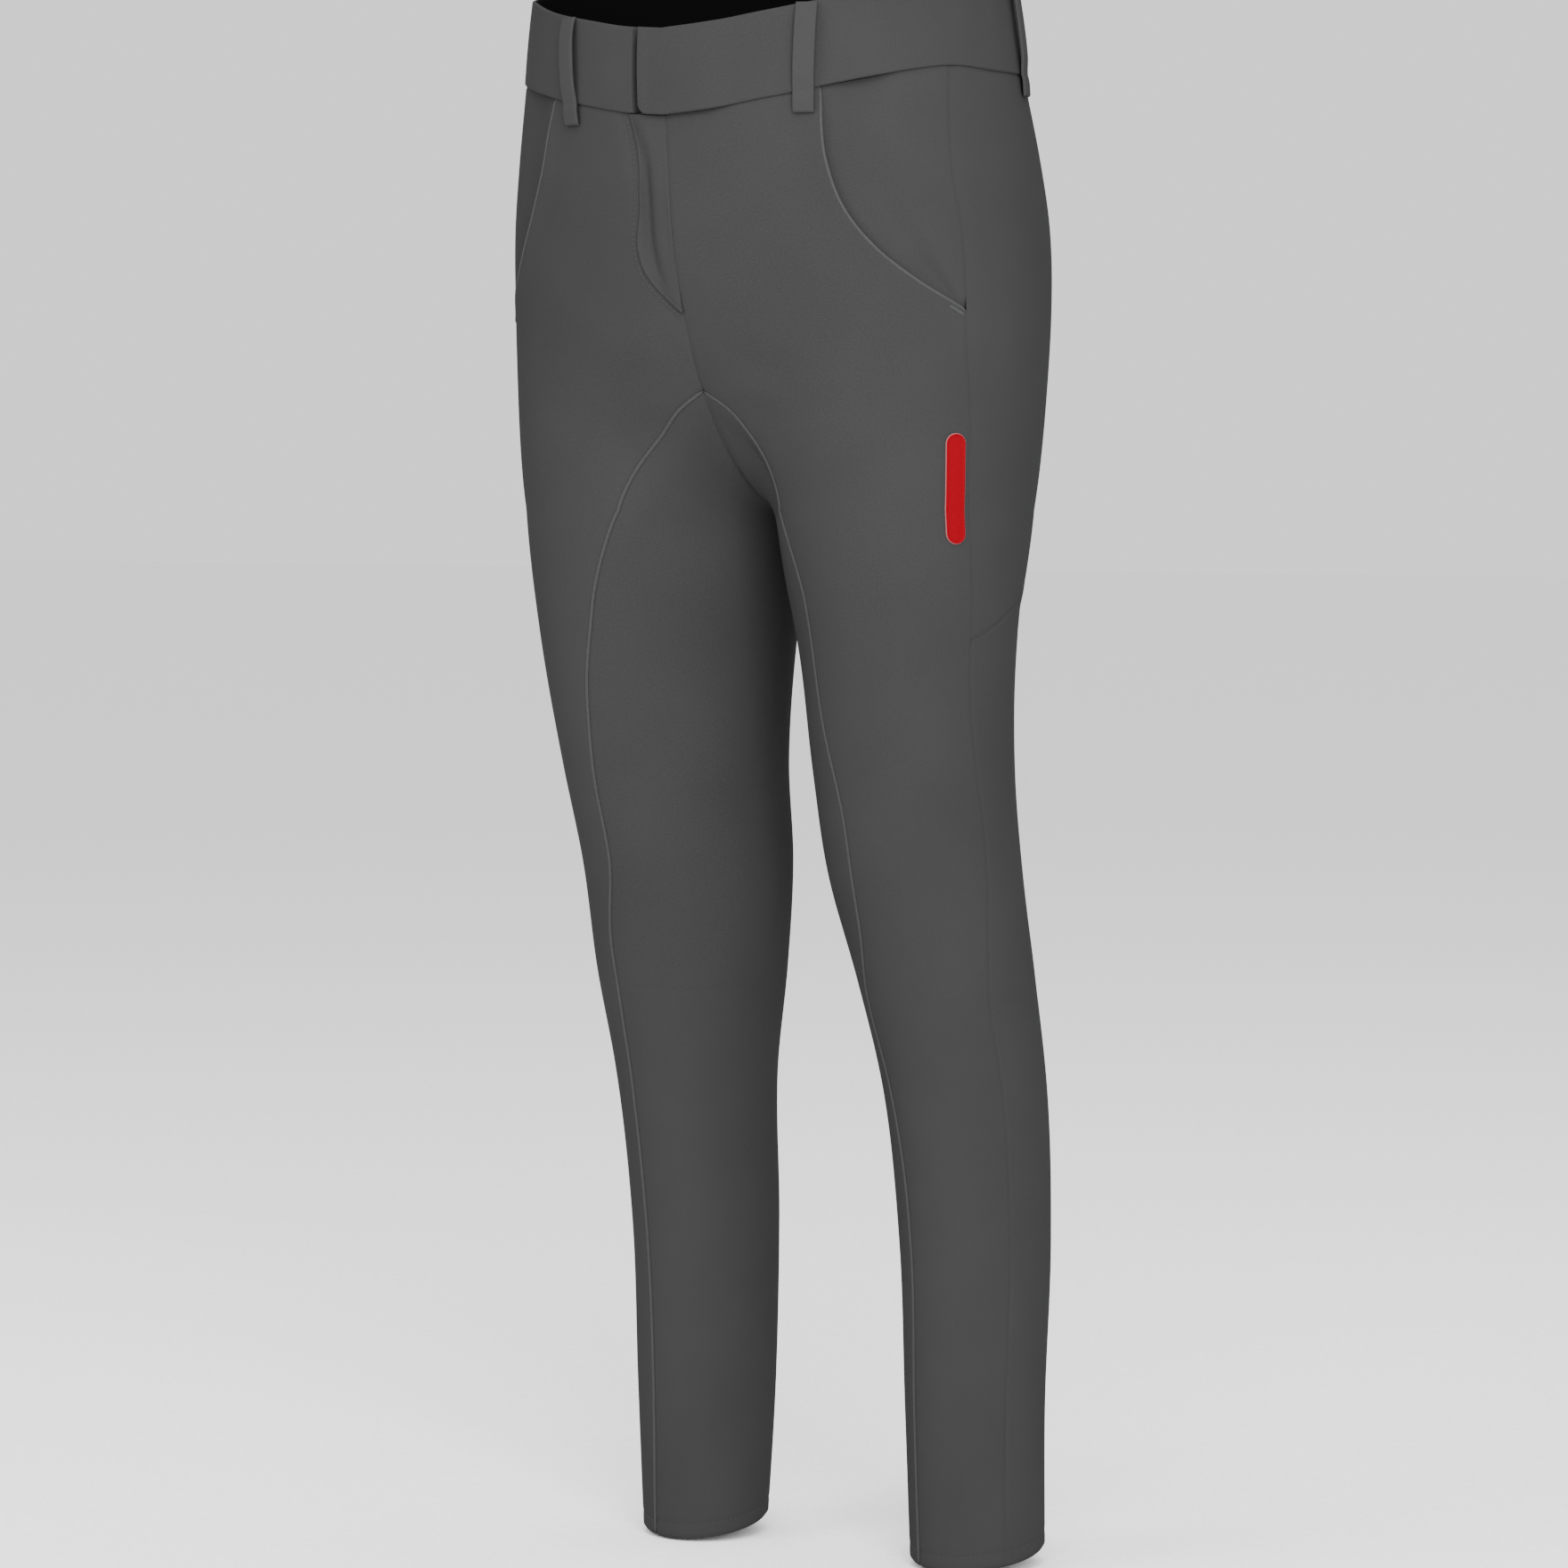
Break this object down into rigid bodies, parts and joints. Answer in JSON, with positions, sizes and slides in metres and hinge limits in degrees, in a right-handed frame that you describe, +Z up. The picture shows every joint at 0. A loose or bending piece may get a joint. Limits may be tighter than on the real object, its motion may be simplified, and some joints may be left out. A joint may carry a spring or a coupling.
{
  "type": "riding breeches",
  "caption": "Close-fitting riding breeches in worn form, hollow and open at waist and ankles, with a seat patch down to the knee, a waistband with loops, front pockets and a fly.",
  "frame": {"origin": "middle of the waist, at half the height of the waistband, where the wearer holds the breeches up", "axes": "+Z up along the wearer's body, -Y the way the wearer faces, +X the wearer's left"},
  "size_m": [0.3497, 0.2732, 0.9708],
  "materials": {
    "cloth": "smooth dark grey stretch jersey, matt with a soft sheen",
    "patch_cloth": "dark grey brushed grip cloth, matt",
    "band_cloth": "dark grey stretch jersey in two layers, matt",
    "badge_rubber": "red moulded soft rubber with a low sheen"
  },
  "bodies": {
    "root": {"waistband_left": "band_cloth", "front_left": "cloth", "pocket_left": "cloth", "back_left": "cloth", "seat_patch_left": "patch_cloth", "calf_left": "cloth", "loop_side_left": "band_cloth", "waistband_right": "band_cloth", "front_right": "cloth", "pocket_right": "cloth", "back_right": "cloth", "seat_patch_right": "patch_cloth", "calf_right": "cloth", "loop_side_right": "band_cloth", "loop_front_left": "band_cloth", "loop_front_right": "band_cloth", "loop_back": "band_cloth", "fly_flap": "cloth", "badge": "badge_rubber"}
  },
  "joints": []
}
